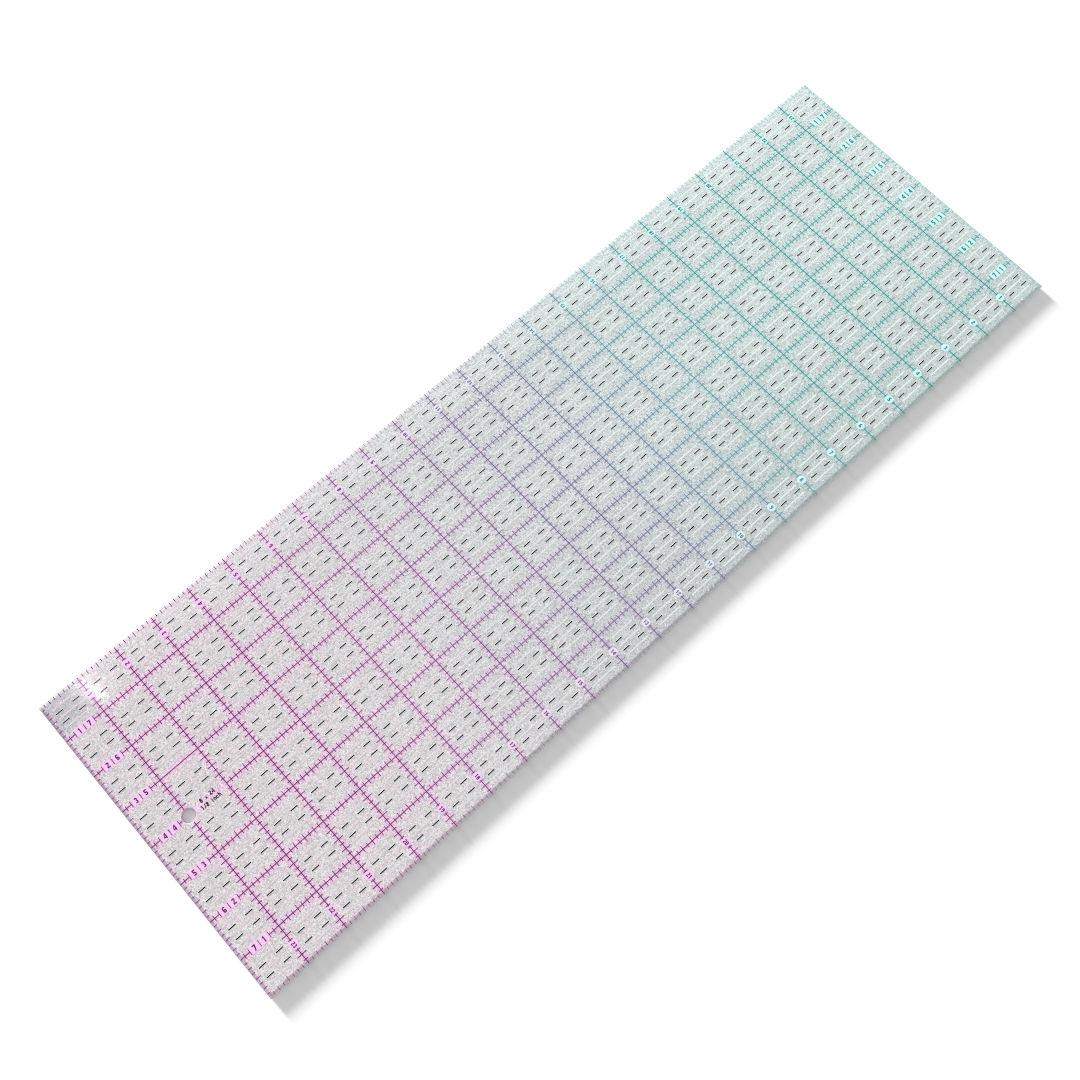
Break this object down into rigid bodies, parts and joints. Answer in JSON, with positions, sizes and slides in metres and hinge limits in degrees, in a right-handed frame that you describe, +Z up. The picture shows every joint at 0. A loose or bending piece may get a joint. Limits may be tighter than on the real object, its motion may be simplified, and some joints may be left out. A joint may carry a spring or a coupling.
{
  "type": "quilting ruler",
  "caption": "Flat rectangular clear acrylic ruler with a hang hole, printed with an inch grid, edge scales, end numbers and dashed sight lines that fade from magenta to teal.",
  "frame": {"origin": "middle of the face that lies on the cloth", "axes": "+X along the length towards the teal end, +Y across the width towards the edge numbered from the hang-hole end, +Z up out of the printed face"},
  "size_m": [0.6096, 0.2032, 0.0031],
  "materials": {
    "clear_acrylic": "polished cast acrylic, clear with a fine silvery glitter",
    "fading_ink": "screen-printed ink film that fades from magenta at the left end to teal at the right",
    "magenta_ink": "screen-printed magenta ink film",
    "teal_ink": "screen-printed teal ink film",
    "pale_ink": "pale tinted ground behind the numbers",
    "white_ink": "screen-printed white ink film",
    "black_ink": "screen-printed black ink film"
  },
  "bodies": {
    "root": {"acrylic_sheet": "clear_acrylic", "crosswise_lines": "fading_ink", "lengthwise_lines": "fading_ink", "upper_edge_ticks": "fading_ink", "lower_edge_ticks": "fading_ink", "left_end_ticks": "magenta_ink", "right_end_ticks": "teal_ink", "upper_number_spots": "pale_ink", "lower_number_spots": "pale_ink", "left_number_tiles": "pale_ink", "right_number_tiles": "pale_ink", "upper_numbers": "fading_ink", "lower_numbers": "fading_ink", "left_numbers": "magenta_ink", "right_numbers": "teal_ink", "left_number_bars": "magenta_ink", "right_number_bars": "teal_ink", "white_guide_lines": "white_ink", "sight_dashes": "black_ink", "size_mark": "black_ink"}
  },
  "joints": []
}
